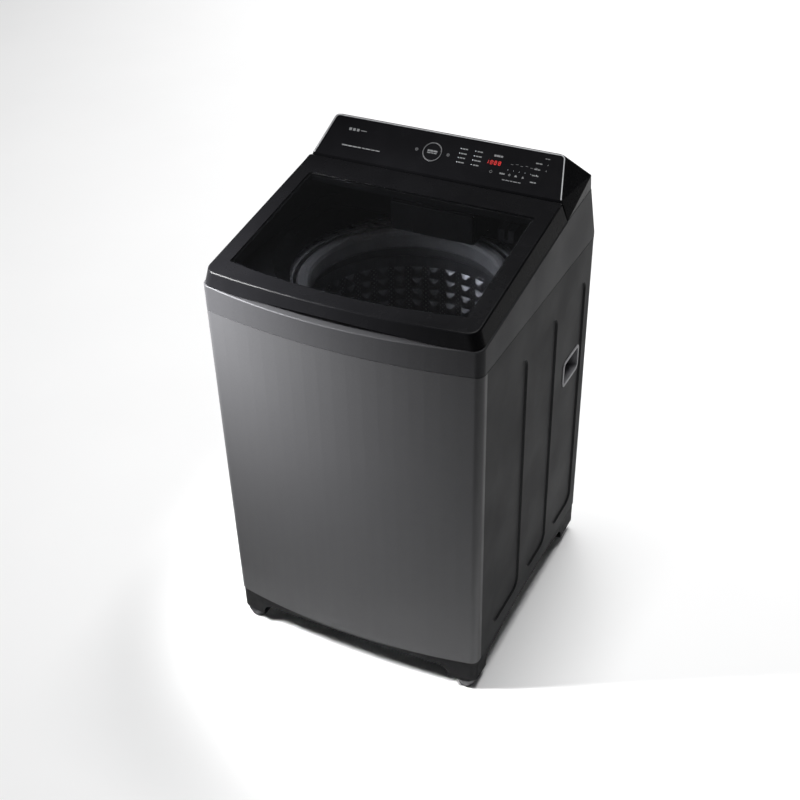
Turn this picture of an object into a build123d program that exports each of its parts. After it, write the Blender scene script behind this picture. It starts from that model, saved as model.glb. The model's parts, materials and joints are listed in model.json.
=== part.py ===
from build123d import *
import math
import os

# Top load washing machine.  Millimetres, +Z up, floor at z = 0.
# X runs from the left side to the right side seen from the front; the front faces -Y.
# The drum's axis is the Z axis.

# ---- driving dimensions -------------------------------------------------------------------
HALF_W = 311.0            # cabinet half width
FRONT_Y = -335.0          # apex of the bowed front
REAR_Y = 335.0            # rear face of the cabinet
BOW = 33.0                # how far the bowed front stands ahead of its corners
CORNER_R = 20.0           # front corner radius in plan
SHEET = 1.2               # cabinet sheet metal
CAB_Z0 = 86.5             # lower edge of the cabinet panels
CAB_Z1 = 861.0            # upper edge of the cabinet panels
SEAM = 1.2                # dark joint between cabinet and top cover
LEG_Z = 28.0              # underside of the corner legs
FOOT_X = 279.0
FOOT_Y_FRONT = -283.0
FOOT_Y_REAR = 294.0
WALL = 3.0                # moulded plastic wall

LID_REAR_Y = 142.0        # seam between lid and console
LID_REAR_Z = 1029.4       # height of the lid's top face at that seam
LID_SLOPE = 0.1657        # rise of the lid's top face per unit of depth
LID_GAP = 2.0             # gap below the lid's skirt
FINGER_GAP = 12.0         # the same at the middle of its front edge
DECK_SLOPE = 0.15         # rise of the top cover's upper edge beside the lid
DECK_Z = 986.9            # height of that edge at the lid's rear seam
REAR_DECK_SLOPE = 0.078   # rise of the top cover's upper edge beside the console
LID_TOP_W = 298.0         # half width of the lid's top face
LID_LOW_W = 310.4         # half width at the lid's lower edge
HINGE_R = 8.0             # rounded rear edge of the lid, concentric with the hinge

PANEL_LEN = 100.0         # control panel, measured up its slope
PANEL_DEG = 41.1          # slope of the control panel
PANEL_LOW_W = 293.0       # half width of the panel's lower edge, with its trim
PANEL_TOP_W = 270.0       # half width of its upper edge
CONSOLE_REAR = ((278.0, 1034.0), (284.0, 998.0))   # console's rear profile, (y, z)
CONSOLE_CORNER = 11.0       # rounding of the upper corners of the panel's face
SHOULDER_W = 309.5        # half width of the console at the upper of these points

WELL_W = 293.0            # half width of the loading well
WELL_REAR = 212.0         # rear wall of the well
SHELF_Z = 909.0           # front shelves of the well
WELL_FLOOR = 873.0        # rear floor of the well
WELL_HOLE = 247.0         # round hole above the drum

DRUM_R = 235.0            # inside of the drum wall
DRUM_Z0 = 318.0
DRUM_Z1 = 812.0
RING_IN = 207.0           # balance ring bore
RING_Z1 = 855.0
TUB_R = 262.0             # outer tub
TUB_Z0 = 276.0
TUB_Z1 = 846.0
ROD_XY = 240.0            # suspension rods stand at (+-ROD_XY, +-ROD_XY)
ROD_R = 3.0
SPRING_Z0 = 236.0         # top of the rod end caps, lower end of the springs
SPRING_Z1 = 318.0         # upper end of the springs
RUN_GAP = 0.05            # radial clearance of running fits

DRAWER_W = 102.0          # half width of the drawer housing
DRAWER_Y = 138.0          # front face of the drawer housing
DRAWER_Z0 = 884.0
DRAWER_Z1 = 956.0

DIAL_X = -20.0            # selector ring on the control panel, and how far up the slope
DIAL_V = 52.0
DIAL_R = 22.0

LID_DEG = math.degrees(math.atan(LID_SLOPE))
LID_PLANE = Plane(origin=(0, LID_REAR_Y, LID_REAR_Z), x_dir=(1, 0, 0),
                  z_dir=(0, -math.sin(math.radians(LID_DEG)), math.cos(math.radians(LID_DEG))))
PANEL_PLANE = Plane(origin=(0, LID_REAR_Y + 1.0, LID_REAR_Z), x_dir=(1, 0, 0),
                    z_dir=(0, -math.sin(math.radians(PANEL_DEG)), math.cos(math.radians(PANEL_DEG))))
HINGE_N = -HINGE_R - 0.5  # hinge axis below the lid's top face, along its normal
HINGE_V = -HINGE_R - 2.6  # and ahead of the rear seam, along the lid
HINGE = LID_PLANE.from_local_coords((0, HINGE_V, HINGE_N))
REAR_LEAN = math.degrees(math.atan2(REAR_Y - CONSOLE_REAR[1][0], CONSOLE_REAR[1][1] - CAB_Z1))
BIG = 2000.0


# ---- helpers ----------------------------------------------------------------------------
def box(x0, x1, y0, y1, z0, z1):
    return Pos((x0 + x1) / 2, (y0 + y1) / 2, (z0 + z1) / 2) * Box(x1 - x0, y1 - y0, z1 - z0)


def cyl(r, z0, z1, x=0.0, y=0.0):
    return Pos(x, y, (z0 + z1) / 2) * Cylinder(r, z1 - z0)


def tube(r_in, r_out, z0, z1, x=0.0, y=0.0):
    return cyl(r_out, z0, z1, x, y) - cyl(r_in, z0 - 1, z1 + 1, x, y)


def revolved(points):
    """Solid of revolution about Z from (radius, z) points."""
    face = make_face(Polyline(*[(r, 0, z) for r, z in points], close=True))
    return revolve(face, Axis.Z, 360)


def half_space(y, z, slope, down=False):
    """Everything above (or below) the plane through (y, z) that rises by slope along +Y."""
    tilt = math.degrees(math.atan(slope))
    side = -1 if down else 1
    return Pos(0, y, z) * Rot(X=tilt) * Pos(0, 0, side * BIG / 2) * Box(BIG, BIG, BIG)


def outline(inset=0.0):
    """Plan outline of the cabinet: straight sides and rear, bowed front, round front corners."""
    corner_y = FRONT_Y + BOW
    path = Polyline((HALF_W, corner_y), (HALF_W, REAR_Y), (-HALF_W, REAR_Y), (-HALF_W, corner_y))
    bow = ThreePointArc((-HALF_W, corner_y), (0, FRONT_Y), (HALF_W, corner_y))
    face = make_face(path + bow)
    face = fillet(face.vertices().group_by(Axis.Y)[0], CORNER_R)
    rear = face.vertices().group_by(Axis.Y)[-1]
    face = fillet(rear, 6.0)
    if inset:
        face = offset(face, -inset, kind=Kind.ARC)
    return face


def prism(inset, z0, z1):
    return Pos(0, 0, z0) * extrude(outline(inset), z1 - z0)


def corners():
    return [(sx * ROD_XY, sy * ROD_XY) for sx in (-1, 1) for sy in (-1, 1)]


def feet_places():
    return {
        "front_left": (-FOOT_X, FOOT_Y_FRONT),
        "front_right": (FOOT_X, FOOT_Y_FRONT),
        "rear_left": (-FOOT_X, FOOT_Y_REAR),
        "rear_right": (FOOT_X, FOOT_Y_REAR),
    }


# ---- base and cabinet ---------------------------------------------------------------------
ARCH_X = 243.0            # half width between the legs, across the front
ARCH_Y0 = -240.0          # the same, front and rear, along the sides
ARCH_Y1 = 250.0


def arch(u0, u1):
    """Profile cut between two legs: a shallow bow on top, curved sides at the legs."""
    mid = (u0 + u1) / 2
    left = ThreePointArc((u0, LEG_Z - 5), (u0 + 5, 52), (u0 + 30, 63))
    top = ThreePointArc((u0 + 30, 63), (mid, 79), (u1 - 30, 63))
    right = ThreePointArc((u1 - 30, 63), (u1 - 5, 52), (u1, LEG_Z - 5))
    low = Line((u1, LEG_Z - 5), (u0, LEG_Z - 5))
    return make_face(left + top + right + low)


def base_frame():
    apron = prism(2.0, LEG_Z, CAB_Z0) - prism(6.0, LEG_Z - 1, CAB_Z0 + 1)
    across = Plane.XZ * arch(-ARCH_X, ARCH_X)
    along = Plane.YZ * arch(ARCH_Y0, ARCH_Y1)
    apron -= Pos(0, 500, 0) * extrude(across, 1000)
    apron -= Pos(-500, 0, 0) * extrude(along, 1000)
    flange = prism(2.0, CAB_Z0 - 4, CAB_Z0) - prism(42.0, CAB_Z0 - 5, CAB_Z0 + 1)
    curb = prism(SHEET + 0.3, CAB_Z0 - 1, CAB_Z0 + 20) - prism(SHEET + 3.3, CAB_Z0 - 2, CAB_Z0 + 21)
    frame = apron + flange + curb
    inside = prism(3.0, LEG_Z, CAB_Z0)
    for sx in (-1, 1):
        for y0, y1 in ((FRONT_Y, ARCH_Y0), (ARCH_Y1, REAR_Y)):
            x0 = sx * ARCH_X
            x1 = sx * HALF_W
            post = box(min(x0, x1), max(x0, x1), y0, y1, LEG_Z, CAB_Z0) & inside
            frame += post
    for x, y in feet_places().values():
        frame -= cyl(6.3, LEG_Z - 1, CAB_Z0 + 30, x, y)
    return frame


def foot(x, y):
    """Levelling foot: rubber pad moulded on a threaded stud."""
    pad = revolved([(0, 0), (15, 0), (18, 2), (20, 8), (23.5, 17), (24.5, 21), (24.5, 24),
                    (12, 24.4), (0, 24.4)])
    stud = cyl(6.0, 24.4, 104)
    nut = Pos(0, 0, 20) * extrude(RegularPolygon(9, 6), 7.6)
    return Pos(x, y, 0) * (pad + stud + nut)


def foot_locknuts():
    nuts = []
    for x, y in feet_places().values():
        hexagon = Pos(x, y, CAB_Z0 + 0.0) * extrude(RegularPolygon(10, 6), 6.0)
        nuts.append(hexagon - cyl(6.3, CAB_Z0 - 1, CAB_Z0 + 8, x, y))
    return nuts


def shell_panel(region):
    skin = prism(0.0, CAB_Z0, CAB_Z1) - prism(SHEET, CAB_Z0 - 1, CAB_Z1 + 1)
    return skin & region


FRONT_SPLIT = FRONT_Y + BOW + 25.0     # joint between the front and the side panels
REAR_SPLIT = REAR_Y - 8.0


def front_panel():
    return shell_panel(box(-BIG, BIG, -BIG, FRONT_SPLIT - 0.2, 0, BIG))


EMBOSS = ((-214.0, -58.0), (-8.0, 117.0), (165.0, 298.0))   # the three recessed fields, in y
EMBOSS_Z = (126.0, 775.0)
EMBOSS_DEEP = 4.0
EMBOSS_R = 30.0
GRIP_Y = (189.0, 284.0)
GRIP_Z = (541.0, 601.0)


def pressed(face, w, h, r, deep):
    """Recess with 45-degree walls, as the press leaves it in a sheet, below this face."""
    wide = face * RectangleRounded(w, h, r)
    narrow = face * Pos(0, 0, -deep) * RectangleRounded(w - 2 * deep, h - 2 * deep, r - deep)
    return loft([wide, narrow])


def side_face(x, y0, y1, z0, z1):
    """Frame on the middle of this rectangle of a side panel, its Z pointing out."""
    return Plane(origin=(x, (y0 + y1) / 2, (z0 + z1) / 2), x_dir=(0, 1, 0), z_dir=(1, 0, 0))


def side_panel(side):
    """Right side is built, the left one is its mirror image."""
    skin = box(HALF_W - SHEET, HALF_W, FRONT_SPLIT, REAR_SPLIT, CAB_Z0, CAB_Z1)
    tall = EMBOSS_Z[1] - EMBOSS_Z[0]
    for y0, y1 in EMBOSS:
        skin += pressed(side_face(HALF_W - SHEET, y0, y1, *EMBOSS_Z), y1 - y0, tall, EMBOSS_R, EMBOSS_DEEP)
    for y0, y1 in EMBOSS:
        skin -= pressed(side_face(HALF_W, y0, y1, *EMBOSS_Z), y1 - y0, tall, EMBOSS_R, EMBOSS_DEEP)
    hole = RectangleRounded(GRIP_Y[1] - GRIP_Y[0], GRIP_Z[1] - GRIP_Z[0], 12)
    skin -= extrude(side_face(HALF_W - 10, *GRIP_Y, *GRIP_Z) * hole, 20)
    if side < 0:
        skin = mirror(skin, Plane.YZ)
    return skin


def handle_cup(side):
    """Recessed carrying grip that snaps into the side panel's opening."""
    face_x = HALF_W - EMBOSS_DEEP
    outer = side_face(face_x, *GRIP_Y, *GRIP_Z)
    w = GRIP_Y[1] - GRIP_Y[0]
    h = GRIP_Z[1] - GRIP_Z[0]
    flange = extrude(outer * RectangleRounded(w + 10, h + 10, 16), 1.6)
    body = extrude(outer * RectangleRounded(w - 0.6, h - 0.6, 11.7), -30)
    cavity = extrude(outer * Pos(0, 0, 1.6) * RectangleRounded(w - 5.6, h - 5.6, 9), -27.6)
    upper = extrude(outer * Pos(0, h / 2 - 10, -10) * Rectangle(w - 5.6, 14), -18)
    cup = flange + body - cavity - (upper & body)
    cup += extrude(outer * Pos(0, h / 2 - 3.5, 0) * Rectangle(w - 6, 5), -12) & body
    if side < 0:
        cup = mirror(cup, Plane.YZ)
    return cup


OUTLET = (-180.0, 190.0)          # drain outlet on the rear panel, (x, z)
OUTLET_R = 27.0


BEAD_Z = (330, 430, 530, 630, 730)   # stiffening beads pressed into the rear panel
BEAD_LEN = 480.0
BEAD_W = 26.0
BEAD_DEEP = 4.0
SCREW_AT = [(x, z) for x in (-298, 298) for z in (130, 400, 680)]   # on the rear panel


def rear_panel():
    panel = shell_panel(box(-BIG, BIG, REAR_SPLIT + 0.2, BIG, 0, BIG))
    face = Plane(origin=(0, REAR_Y, 0), x_dir=(-1, 0, 0), z_dir=(0, 1, 0))
    back = Plane(origin=(0, REAR_Y - SHEET, 0), x_dir=(-1, 0, 0), z_dir=(0, 1, 0))
    for z in BEAD_Z:
        panel += pressed(back * Pos(0, z, 0), BEAD_LEN, BEAD_W, BEAD_W / 2 - 0.1, BEAD_DEEP)
        panel -= pressed(face * Pos(0, z, 0), BEAD_LEN, BEAD_W, BEAD_W / 2 - 0.1, BEAD_DEEP)
    panel -= Pos(OUTLET[0], REAR_Y, OUTLET[1]) * Rot(X=90) * Cylinder(OUTLET_R + 0.3, 40)
    for x, z in SCREW_AT:
        panel -= Pos(x, REAR_Y, z) * Rot(X=90) * Cylinder(3.6, 10)
    return panel


def drain_outlet():
    """Recessed cup with the hose spigot inside it, flush with the rear panel."""
    turn = Pos(OUTLET[0], REAR_Y - SHEET, OUTLET[1]) * Rot(X=-90)
    cup = cyl(OUTLET_R, -34, SHEET) - cyl(OUTLET_R - 2, -32, SHEET + 1)
    cup += tube(OUTLET_R - 2, OUTLET_R + 6, -2, 0)
    cup += cyl(11.0, -40, SHEET - 2)
    cup -= cyl(8.0, -45, SHEET)
    return turn * cup


# ---- top cover and loading well --------------------------------------------------------------
def below_deck(drop=0.0):
    """Space under the top cover's upper edge: one slope beside the lid, one beside the console."""
    ahead = half_space(LID_REAR_Y, DECK_Z - drop, DECK_SLOPE, down=True)
    behind = half_space(LID_REAR_Y, DECK_Z - drop, REAR_DECK_SLOPE, down=True)
    ahead &= box(-BIG, BIG, -BIG, LID_REAR_Y, -BIG, BIG)
    behind &= box(-BIG, BIG, LID_REAR_Y, BIG, -BIG, BIG)
    return ahead + behind


def lean_cut(inset=0.0):
    """Space behind the leaning rear face."""
    shift = inset / math.cos(math.radians(REAR_LEAN))
    block = Pos(0, BIG / 2, 0) * Box(BIG, BIG, BIG)
    return Pos(0, REAR_Y - shift, CAB_Z1 + SEAM) * Rot(X=REAR_LEAN) * block


def cover_block(inset, z0, drop=0.0):
    block = prism(inset, z0, CAB_Z1 + 180)
    block &= below_deck(drop)
    return block - lean_cut(inset)


def top_cover():
    block = cover_block(0.0, CAB_Z1 + SEAM)
    ahead = block & box(-BIG, BIG, -BIG, LID_REAR_Y, 0, BIG)
    behind = block & box(-BIG, BIG, LID_REAR_Y, BIG, 0, BIG)
    top = ahead.faces().filter_by(lambda f: abs(f.normal_at().Z) > 0.9).sort_by(Axis.Z)[-1]
    rim = top.edges().filter_by(lambda e: abs(e.center().Y - LID_REAR_Y) > 0.1)
    body = fillet(rim, 3.0) + behind
    hollow = cover_block(WALL, CAB_Z1 - 5, drop=WALL)
    body -= hollow
    opening = prism(13.7, CAB_Z1, CAB_Z1 + 200) & box(-BIG, BIG, -BIG, LID_REAR_Y, 0, BIG)
    opening += cover_block(WALL, CAB_Z1, drop=-5) & box(-BIG, BIG, LID_REAR_Y - 1, BIG, 0, BIG)
    body -= opening
    tongue = prism(SHEET + 0.3, CAB_Z1 - 12, CAB_Z1 + SEAM + 4)
    tongue -= prism(SHEET + 2.6, CAB_Z1 - 13, CAB_Z1 + 20)
    tongue -= lean_cut(SHEET)
    tongue &= box(-BIG, BIG, -BIG, REAR_Y - 6, 0, BIG)
    body += tongue
    for x, z in VALVE_AT:
        body -= lean_place(x, z) * cyl(VALVE_R + 3.3, -20, 20)
    body -= lean_place(*GLAND_AT) * cyl(9.0, -20, 20)
    return body


VALVE_R = 13.2            # G3/4 male inlet, outside diameter 26.4
VALVE_AT = ((-205.0, 925.0), (-130.0, 925.0))
GLAND_AT = (215.0, 900.0)


def lean_place(x, z):
    """Frame on the leaning rear face of the top cover, its Z pointing out."""
    y = REAR_Y - (z - CAB_Z1 - SEAM) * math.tan(math.radians(REAR_LEAN))
    return Pos(x, y, z) * Rot(X=-(90 - REAR_LEAN))


def ahead_of_rear_wall(grow=0.0):
    return box(-BIG, BIG, -BIG, WELL_REAR + grow, 0, BIG)


def well_u(grow):
    """The U-shaped hole of the well and its rear floor area."""
    low = WELL_HOLE + grow
    high = WELL_HOLE + 31 + grow
    cone = Pos(0, 0, (WELL_FLOOR + SHELF_Z) / 2 - grow / 2) * Cone(low, high, SHELF_Z - WELL_FLOOR + grow)
    rear = box(-WELL_W + 3 - grow, WELL_W - 3 + grow, 0, WELL_REAR + grow, WELL_FLOOR - grow, SHELF_Z + 0.1)
    uprights = rear.edges().filter_by(Axis.Z).group_by(Axis.Y)[-1]
    rear = fillet(uprights, 60 + grow)
    return (cone & ahead_of_rear_wall(grow)) + rear


def well_top(grow):
    """The part of the well above the shelves, up to the lid."""
    space = prism(16.7 - grow, SHELF_Z - grow, CAB_Z1 + 180)
    space &= box(-WELL_W - grow, WELL_W + grow, -BIG, WELL_REAR + grow, 0, BIG)
    uprights = space.edges().filter_by(Axis.Z).group_by(Axis.Y)[-1]
    return fillet(uprights, 60 + grow)


def well_liner():
    outer = (well_top(WALL) + well_u(WALL)) & below_deck(0.3)
    inner = well_top(0) + well_u(0)
    liner = outer - inner - (cyl(WELL_HOLE - 2, WELL_FLOOR - 10, SHELF_Z) & ahead_of_rear_wall())
    liner &= below_deck(3.6) + box(-BIG, BIG, -BIG, LID_REAR_Y, 0, BIG)
    slot = DRAWER_W + 0.3
    liner -= box(-slot, slot, WELL_REAR - 20, WELL_REAR + 20, DRAWER_Z0 - 0.3, DRAWER_Z1 + 0.3)
    liner -= Pos(NOZZLE[0], WELL_REAR, NOZZLE[1]) * Box(30.6, 40, 16.6)
    return liner


NOZZLE = (165.0, 925.0)           # water nozzle in the well's rear wall, (x, z)


def water_nozzle():
    x, z = NOZZLE
    body = box(x - 15, x + 15, WELL_REAR - 8, WELL_REAR + 34, z - 8, z + 8)
    body = fillet(body.edges().filter_by(Axis.Y), 3.0)
    body -= box(x - 11, x + 11, WELL_REAR - 9, WELL_REAR + 30, z - 4, z + 4)
    flange = box(x - 18, x + 18, WELL_REAR + WALL, WELL_REAR + WALL + 2.5, z - 11, z + 11)
    spigot = Pos(x, WELL_REAR + 46, z) * Rot(X=90) * Cylinder(7, 26)
    return body + (flange - box(x - 14, x + 14, 0, 400, z - 7, z + 7)) + spigot


# ---- console -----------------------------------------------------------------------------------
def panel_point(v, x=0.0):
    """Point on the control panel's face, v up its slope."""
    return PANEL_PLANE.from_local_coords((x, v, 0))


def beyond(a, b, c, inset):
    """Everything on the right of the plane through three points."""
    normal = (Vector(b) - Vector(a)).cross(Vector(c) - Vector(a))
    if normal.X < 0:
        normal = -normal
    return Plane(origin=a, z_dir=normal) * Pos(0, 0, BIG / 2 - inset) * Box(BIG, BIG, BIG)


def rounded_corner(steps=3):
    """Points round the panel's upper corner, from its side edge to its top edge."""
    slope = (PANEL_LOW_W - PANEL_TOP_W) / PANEL_LEN
    lean = math.atan(slope)
    v = PANEL_LEN - CONSOLE_CORNER
    x = PANEL_LOW_W + 1.5 - slope * v - CONSOLE_CORNER / math.cos(lean)
    turns = [lean + (math.pi / 2 - lean) * k / steps for k in range(steps + 1)]
    return [panel_point(v + CONSOLE_CORNER * math.sin(a), x + CONSOLE_CORNER * math.cos(a)) for a in turns]


def console_block(inset):
    """Convex roof-shaped body: sloped panel in front, sloped rear, two facets down each side."""
    front = panel_point(0)
    top = panel_point(PANEL_LEN)
    deck = DECK_Z + 0.3
    rear_deck = deck + REAR_DECK_SLOPE * (CONSOLE_REAR[1][0] - LID_REAR_Y)
    profile = Polyline((front.Y, deck), (front.Y, front.Z), (top.Y, top.Z), (top.Y + 2.6, top.Z - 0.4),
                       CONSOLE_REAR[0], (CONSOLE_REAR[1][0], rear_deck), close=True)
    face = make_face(profile)
    if inset:
        face = offset(face, -inset, kind=Kind.INTERSECTION)
    half = HALF_W - 0.6 - inset
    block = Pos(-half, 0, 0) * extrude(Plane.YZ * face, 2 * half)
    low = (LID_LOW_W, front.Y, DECK_Z)
    corner = (PANEL_LOW_W + 1.5, front.Y, front.Z)
    upper = (PANEL_TOP_W + 1.5, top.Y, top.Z)
    shoulder = (SHOULDER_W, *CONSOLE_REAR[0])
    arc = [tuple(point) for point in rounded_corner()]
    facets = [(low, corner, shoulder), (corner, upper, shoulder)]
    facets += [(a, b, shoulder) for a, b in zip(arc, arc[1:])]
    for facet in facets:
        wedge = beyond(*facet, inset)
        block -= wedge
        block -= mirror(wedge, Plane.YZ)
    return block


def console_housing():
    body = console_block(0.0)
    top = panel_point(PANEL_LEN)
    ridge = body.edges().filter_by(Axis.X).filter_by(lambda e: e.center().Z > CONSOLE_REAR[0][1] - 1)
    body = fillet(ridge.filter_by(lambda e: e.center().Y > top.Y + 1), 1.5)
    body -= console_block(2.5)
    body -= panel_recess()
    half = EAR_T / 2 + 0.4
    for x in (-HINGE_X, HINGE_X):
        body -= box(x - half, x + half, LID_REAR_Y - 2, LID_REAR_Y + 4.5, ARM_Z - 0.4, ARM_Z + 9.4)
    return body


def trapezoid(bottom, top, v0, v1, r):
    face = make_face(Polyline((-bottom, v0), (bottom, v0), (top, v1), (-top, v1), close=True))
    upper = face.vertices().group_by(Axis.Y)[-1]
    return fillet(upper, r)


PANEL_T = 2.4
TRIM_W = 2.4


def panel_face(grow):
    slope = (PANEL_LOW_W - PANEL_TOP_W) / PANEL_LEN
    v1 = PANEL_LEN - 0.8 - TRIM_W + grow
    half = PANEL_LOW_W - TRIM_W + grow
    return trapezoid(half, half - slope * v1, 0.8, v1, 9.0 + grow)


def panel_recess():
    return extrude(PANEL_PLANE * panel_face(TRIM_W + 0.05), -PANEL_T - 0.1) + \
        extrude(PANEL_PLANE * panel_face(TRIM_W + 0.05), 3)


def control_panel():
    plate = extrude(PANEL_PLANE * Pos(0, 0, -PANEL_T) * panel_face(0.0), PANEL_T)
    return plate - PANEL_PLANE * (Pos(DIAL_X, DIAL_V, 0) * Cylinder(DIAL_R + 0.4, 20))


def console_trim():
    band = extrude(PANEL_PLANE * Pos(0, 0, -PANEL_T) * panel_face(TRIM_W), PANEL_T + 0.6)
    band -= extrude(PANEL_PLANE * Pos(0, 0, -PANEL_T - 1) * panel_face(0.05), PANEL_T + 4)
    return band


def selector_ring():
    ring = tube(DIAL_R - 2.0, DIAL_R, -PANEL_T, 1.4)
    ring = fillet(ring.edges().group_by(Axis.Z)[-1], 0.6)
    return PANEL_PLANE * (Pos(DIAL_X, DIAL_V, 0) * ring)


def start_button():
    cap = cyl(DIAL_R - 2.0 - 0.4, -PANEL_T + 1.6, 0.9)
    cap = fillet(cap.edges().group_by(Axis.Z)[-1], 0.5)
    return PANEL_PLANE * (Pos(DIAL_X, DIAL_V, 0) * cap)


def main_board():
    """Control board on stand-offs behind the panel, with its relays and the display module."""
    plate = PANEL_PLANE * box(-150, 215, 12, 84, -18, -16.4)
    parts = plate
    for x, v, w, d, h in ((-110, 30, 28, 22, 15), (-110, 62, 28, 22, 15), (185, 34, 36, 30, 18)):
        parts += PANEL_PLANE * box(x - w / 2, x + w / 2, v - d / 2, v + d / 2, -16.5 - h, -16.3)
    parts += PANEL_PLANE * box(100, 155, 40, 66, -16.5, -5.2)
    for x in (-140, 205):
        for v in (20, 76):
            parts += PANEL_PLANE * (Pos(x, v, -10.85) * Cylinder(3.0, 11.5))
    return parts


def inlet_valve(x, z):
    """Solenoid valve: threaded inlet through the leaning rear face, coil and outlet inside."""
    body = cyl(VALVE_R, -WALL - 0.1, 14) + cyl(VALVE_R - 1, -18, -WALL - 0.1) - cyl(9.5, -10, 15)
    body += cyl(VALVE_R + 6, -8, -WALL - 0.1)
    body += cyl(14, -34, -18)
    body += box(-12, 12, 10, 40, -34, -12)
    body += cyl(6.5, -52, -34)
    return lean_place(x, z) * body


def power_gland():
    body = tube(4.5, 8.7, -14, 7) + tube(4.5, 12, 0.1, 3) + tube(4.5, 12, -WALL - 3, -WALL - 0.1)
    return lean_place(*GLAND_AT) * body


# ---- lid ---------------------------------------------------------------------------------------
HINGE_X = 240.0           # hinge ears, in x
EAR_T = 9.0
ARM_Z = DECK_Z + 6.5      # underside of the hinge arms
PIN_R = 3.5
LID_LEN = 468.0           # along the lid's slope, from the rear seam to the bowed front
LID_BOW = 17.0
LID_LOW_LEN = 486.0       # the same at the bottom of the lid's tapered sides
LID_LOW_BOW = 26.0
GLASS_W = 263.0
GLASS_V0 = -72.6          # rear edge of the window, along the lid
GLASS_V1 = -409.0         # corner end of the window's bowed front edge
GLASS_BOW = 24.0
GLASS_T = 4.0


def lid_outline(half, front, rear, bow, r):
    """Plan outline of the lid on its own plane; the front edge is bowed."""
    side = Polyline((half, front + bow), (half, rear), (-half, rear), (-half, front + bow))
    arc = ThreePointArc((-half, front + bow), (0, front), (half, front + bow))
    face = make_face(side + arc)
    return fillet(face.vertices().group_by(Axis.Y)[0], r)


def lid_block(inset, top, rear):
    """Tapered block of the lid: narrower at its top face than at the lower edge."""
    deep = 46.0
    spread = (LID_LOW_W - LID_TOP_W) / 40.0
    upper = lid_outline(LID_TOP_W - inset, -LID_LEN + inset, rear, LID_BOW, 26)
    wide = LID_LOW_W - inset + spread * (deep - 40)
    lower = lid_outline(wide, -LID_LOW_LEN + inset, rear, LID_LOW_BOW, 26)
    lower = Pos(0, 0, -deep) * lower
    block = LID_PLANE * loft([lower, upper])
    if top:
        block -= LID_PLANE * (Pos(0, 0, top + BIG / 2) * Box(BIG, BIG, BIG))
    return block


def above_deck(gap):
    return half_space(LID_REAR_Y, DECK_Z + gap, DECK_SLOPE)


def finger_recess(deep):
    """Arched gap under the lid's front edge, for lifting it."""
    half = LID_TOP_W - 12
    base = DECK_Z + DECK_SLOPE * (FRONT_Y - LID_REAR_Y)
    arc = ThreePointArc((-half, base), (0, base + deep), (half, base))
    low = Polyline((half, base), (half, base - 30), (-half, base - 30), (-half, base))
    return Pos(0, FRONT_Y + 90, 0) * extrude(Plane.XZ * make_face(arc + low), 200)


def window(grow, n0, n1):
    slope_len = -GLASS_V1 + GLASS_BOW
    face = lid_outline(GLASS_W + grow, -slope_len - grow, GLASS_V0 + grow, GLASS_BOW, 5 + max(grow, 0))
    return LID_PLANE * (Pos(0, 0, n0) * extrude(face, n1 - n0))


def ear_gap(extra):
    """Pockets for the hinge ears: round about the pin, open below and behind, closed on top."""
    half = EAR_T / 2 + extra
    sector = Polyline((-6.5, -40), (14, -40), (14, 12), (4.2, 5.3), (-6.5, 0), close=True)
    cut = None
    for side in (-1, 1):
        place = Plane(origin=(side * HINGE_X - half, HINGE.Y, HINGE.Z), x_dir=(0, 1, 0), z_dir=(1, 0, 0))
        pocket = extrude(place * make_face(sector), 2 * half) + extrude(place * Circle(6.6), 2 * half)
        cut = pocket if cut is None else cut + pocket
    return cut


def pin_bore(r, x0=None, x1=None):
    x0 = HINGE_X - 16 if x0 is None else x0
    x1 = HINGE_X + 16 if x1 is None else x1
    bores = None
    for side in (-1, 1):
        mid = side * (x0 + x1) / 2
        rod = Pos(mid, HINGE.Y, HINGE.Z) * Rot(Y=90) * Cylinder(r, x1 - x0)
        bores = rod if bores is None else bores + rod
    return bores


def lid_frame():
    rear = HINGE_V
    body = lid_block(0.0, 0, rear)
    crown = body.edges().filter_by(lambda e: LID_PLANE.to_local_coords(e.center()).Z > -1
                                   and LID_PLANE.to_local_coords(e.center()).Y < rear - 1)
    body = fillet(crown, 5.0)
    hollow = lid_block(WALL, -3.2, rear - 8)
    body -= hollow
    bar = LID_PLANE * box(-LID_TOP_W + 0.5, LID_TOP_W - 0.5, rear - 12, rear, HINGE_N - HINGE_R, -0.5)
    roll = Pos(0, HINGE.Y, HINGE.Z) * Rot(Y=90) * Cylinder(HINGE_R, 2 * LID_TOP_W - 4)
    body += bar
    body += roll
    body &= above_deck(LID_GAP)
    body -= finger_recess(FINGER_GAP)
    body -= window(0.0, -10, 10)
    body -= window(4.0, -10, -1.2)
    body -= ear_gap(0.5)
    body -= pin_bore(PIN_R)
    return body


def lid_inner_frame():
    """Liner frame under the lid; the glass lies on its inner step."""
    face = lid_outline(LID_TOP_W - 12, -LID_LEN + 14, -30, LID_BOW, 20)
    body = LID_PLANE * (Pos(0, 0, -20) * extrude(face, 16.6))
    inner = lid_outline(LID_TOP_W - 14.4, -LID_LEN + 16.4, -32.4, LID_BOW, 18)
    body -= LID_PLANE * (Pos(0, 0, -17.6) * extrude(inner, 20)) - window(7.0, -40, 5)
    body -= window(4.6, -1.2 - GLASS_T - 0.05, 5)
    body -= window(-5.0, -40, 5)
    return body


def lid_glass():
    return window(3.7, -1.25 - GLASS_T, -1.25)


def lid_hinge_pins():
    return pin_bore(PIN_R, HINGE_X - 15, HINGE_X + 15).solids()


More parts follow.
